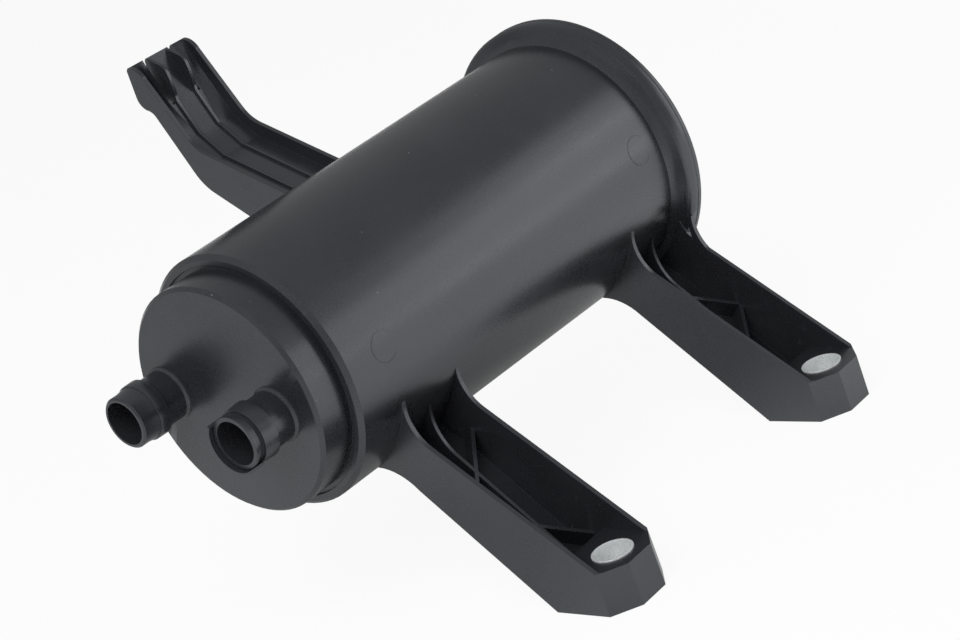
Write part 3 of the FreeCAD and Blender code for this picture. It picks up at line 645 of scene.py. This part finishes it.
class FILTER_OT_marks(bpy.types.Operator):
    """Add the round marks that the mould's pins left on the canister"""

    bl_idname = "filter.marks"
    bl_label = "Mould marks"

    # name, place along the canister in millimetres, degrees round its axis
    MARKS = (("front", -75.7, 176.0), ("rear", 61.1, 171.5))
    SUNK = 0.6  # how deep the middle of the rim lies in the shell, as a share of its rise

    def execute(self, context):
        sizes = context.scene.filter_sizes
        for end, along, degrees in self.MARKS:
            share = (along * MM - sizes.shell_start) / (sizes.shell_end - sizes.shell_start)
            shell = sizes.shell_front + share * (sizes.shell_rear - sizes.shell_front)
            deselect()
            bpy.ops.mesh.primitive_torus_add(
                major_radius=sizes.mark_radius, minor_radius=sizes.mark_rise * (1.0 + self.SUNK),
                major_segments=MARK_STEPS, minor_segments=TUBE_STEPS)
            piece = context.object
            piece.name = "mould_mark_" + end
            bpy.ops.object.shade_smooth()
            for vertex in piece.data.vertices:
                vertex.co.z -= vertex.co.y ** 2 / (2 * shell)
            turn = math.radians(degrees)
            outward = Vector((0.0, math.cos(turn), math.sin(turn)))
            turned = Matrix((ALONG, outward.cross(ALONG), outward)).transposed()
            axis = Vector((along * MM, sizes.axis_y, sizes.axis_z))
            centre = axis + outward * (shell - sizes.mark_rise * self.SUNK)
            piece.matrix_world = Matrix.Translation(centre) @ turned.to_4x4()
            apply_place(piece)
            dress(piece, bpy.data.materials["black_nylon"])
            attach(piece, BODY)
        return {"FINISHED"}


class FILTER_OT_filling(bpy.types.Operator):
    """Finish the sealed filling: grids, fleeces, charcoal, pressure plates and springs"""

    bl_idname = "filter.filling"
    bl_label = "Filling"

    def execute(self, context):
        colours = context.scene.filter_colours
        fleece = felt("white_felt", colours.fleece)
        rounding = context.scene.filter_sizes.edge_round
        grid = moulded_nylon("grid_nylon", colours.grid, colours.haze, colours.dust, rounding)
        finishes = {
            "port_grid": grid,
            "port_fleece": fleece,
            "carbon": grains("charcoal_grains", colours.charcoal),
            "cover_fleece": fleece,
            "pressure_plate": grid,
            "spring": drawn_wire("spring_wire", colours.wire),
        }
        for kind, material in finishes.items():
            for side in ("left", "right"):
                dress(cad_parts[kind + "_" + side], material)
        return {"FINISHED"}


class FILTER_OT_stage(bpy.types.Operator):
    """Set the pale floor, the soft lights and the camera"""

    bl_idname = "filter.stage"
    bl_label = "Stage"

    SOFTBOXES = (
        # name, place, aim, width, height, power in watts, whether shiny faces mirror it
        ("left", (-0.85, 0.39, 0.2), (-0.1, 0.09, 0.09), 0.35, 0.35, 0.15, True),
        ("side", (0.62, -0.62, 0.25), (0.0, 0.05, 0.09), 0.5, 0.46, 0.75, True),
        ("far", (0.64, -0.4, 0.48), (0.06, 0.06, 0.11), 0.28, 0.28, 0.22, True),
        ("front", (-0.7, -0.3, 0.85), (0.0, 0.05, 0.06), 0.9, 0.9, 11.5, False),
    )

    FLOOR_WIDTH = 12.0
    FLOOR_COLOUR = (0.85, 0.85, 0.85, 1.0)
    WHITE_SHARE = 0.92
    # the painted shadow under the object, in the glow that shiny faces mirror: middle, stretch, where it
    # fades in metres, and its lowest light
    SHADE_PLACE = (0.0, 0.115, 0.0)
    SHADE_SCALE = (0.75, 1.0, 1.0)
    SHADE_FADE = (0.05, 0.17)
    SHADE_LEAST = 0.35
    # the painted shade on the left of that glow: scale and start of the ramp along the canister, where it
    # fades, its lowest light
    LEFT_SCALE = 0.8
    LEFT_START = 0.5
    LEFT_FADE = (0.25, 0.55)
    LEFT_LEAST = 0.5
    ROOM_LIGHT = 0.31

    def execute(self, context):
        self.add_floor()
        self.add_world(context)
        for softbox in self.SOFTBOXES:
            self.add_softbox(context, *softbox)
        self.add_camera(context)
        context.scene.view_settings.view_transform = "Standard"
        return {"FINISHED"}

    def add_floor(self):
        """A pale floor that looks white, and that shiny faces mirror as a glow, with a painted shadow under
        the object and painted shade left of it.
        """
        deselect()
        bpy.ops.mesh.primitive_plane_add(size=self.FLOOR_WIDTH, location=(0.0, 0.0, CAD_BOX[0][2]))
        floor = bpy.context.object
        floor.name = "floor"
        material, start = new_material("pale_floor")
        wire_up(material, {}, {"Base Color": self.FLOOR_COLOUR, "Roughness": 0.9})
        seen = start.node("ShaderNodeLightPath", output="Is Camera Ray")
        mirrored = start.node("ShaderNodeLightPath", output="Is Glossy Ray")
        shader = Field(start.tree, start.tree.nodes["Principled BSDF"].outputs[0])
        place = start.node("ShaderNodeTexCoord", output="Object")
        along = start.node("ShaderNodeSeparateXYZ", None, {0: place})
        drawn = start.node("ShaderNodeMapping", None, {"Vector": place, "Scale": self.SHADE_SCALE})
        gap = {"operation": "DISTANCE"}
        # painted shadow under the object, in the floor's glow that shiny faces mirror
        under = start.node("ShaderNodeVectorMath", gap, {0: drawn, 1: self.SHADE_PLACE}, 1)
        shade = ramp(start, under, *self.SHADE_FADE) * (1.0 - self.SHADE_LEAST) + self.SHADE_LEAST
        # painted shade: the floor's mirrored glow grows darker towards the left
        leftwards = ramp(start, along * self.LEFT_SCALE + self.LEFT_START, *self.LEFT_FADE)
        lit = (leftwards * (1.0 - self.LEFT_LEAST) + self.LEFT_LEAST) * shade
        glow = start.node("ShaderNodeEmission", None, {"Color": seen + mirrored * lit, "Strength": 1.0})
        cover = seen * self.WHITE_SHARE + mirrored
        mixed = start.node("ShaderNodeMixShader", None, {0: cover, 1: shader, 2: glow})
        start.tree.links.new(mixed.socket, start.tree.nodes["Material Output"].inputs["Surface"])
        dress(floor, material)

    def add_world(self, context):
        """A dim room that looks white."""
        world = bpy.data.worlds.new("pale_room")
        context.scene.world = world
        world.use_nodes = True
        start = Field(world.node_tree)
        seen = start.node("ShaderNodeLightPath", output="Is Camera Ray")
        strength = self.ROOM_LIGHT + seen * (1.0 - self.ROOM_LIGHT)
        background = world.node_tree.nodes["Background"]
        background.inputs["Color"].default_value = (1.0, 1.0, 1.0, 1.0)
        world.node_tree.links.new(strength.socket, background.inputs["Strength"])

    def add_softbox(self, context, name, place, aim, width, height, power, mirrored):
        light = bpy.data.lights.new(name, "AREA")
        light.shape = "RECTANGLE"
        light.size = width
        light.size_y = height
        light.energy = power
        lamp = bpy.data.objects.new("softbox_" + name, light)
        lamp.location = place
        lamp.visible_glossy = mirrored
        lamp.rotation_euler = (Vector(aim) - Vector(place)).to_track_quat("-Z", "Y").to_euler()
        context.scene.collection.objects.link(lamp)

    def add_camera(self, context):
        lens = bpy.data.cameras.new("photo_camera")
        lens.sensor_width = SENSOR_WIDTH
        lens.sensor_fit = "HORIZONTAL"
        lens.lens = FOCAL_PIXELS * SENSOR_WIDTH / PHOTO_WIDTH
        camera = bpy.data.objects.new("photo_camera", lens)
        turned = Matrix((Vector(CAMERA_RIGHT), -Vector(CAMERA_DOWN), -Vector(CAMERA_AHEAD))).transposed()
        camera.matrix_world = Matrix.Translation(Vector(CAMERA_PLACE)) @ turned.to_4x4()
        context.scene.collection.objects.link(camera)
        context.scene.camera = camera


class FILTER_PT_panel(bpy.types.Panel):
    """The steps that dress the filter"""

    bl_idname = "FILTER_PT_panel"
    bl_label = "Fuel vapour filter"
    bl_space_type = "VIEW_3D"
    bl_region_type = "UI"
    bl_category = "Filter"

    def draw(self, context):
        for step in STEPS:
            self.layout.operator(step.bl_idname)


STEPS = (FILTER_OT_housing, FILTER_OT_cover, FILTER_OT_sleeves, FILTER_OT_band, FILTER_OT_marks,
         FILTER_OT_filling, FILTER_OT_stage)
CLASSES = (FilterSizes, FilterColours, *STEPS, FILTER_PT_panel)


def register():
    for item in CLASSES:
        bpy.utils.register_class(item)
    bpy.types.Scene.filter_sizes = bpy.props.PointerProperty(type=FilterSizes)
    bpy.types.Scene.filter_colours = bpy.props.PointerProperty(type=FilterColours)


def unregister():
    del bpy.types.Scene.filter_colours
    del bpy.types.Scene.filter_sizes
    for item in reversed(CLASSES):
        bpy.utils.unregister_class(item)


def main():
    register()
    bpy.ops.filter.housing()
    bpy.ops.filter.cover()
    bpy.ops.filter.sleeves()
    bpy.ops.filter.band()
    bpy.ops.filter.marks()
    bpy.ops.filter.filling()
    bpy.ops.filter.stage()


if __name__ == "__main__":
    main()
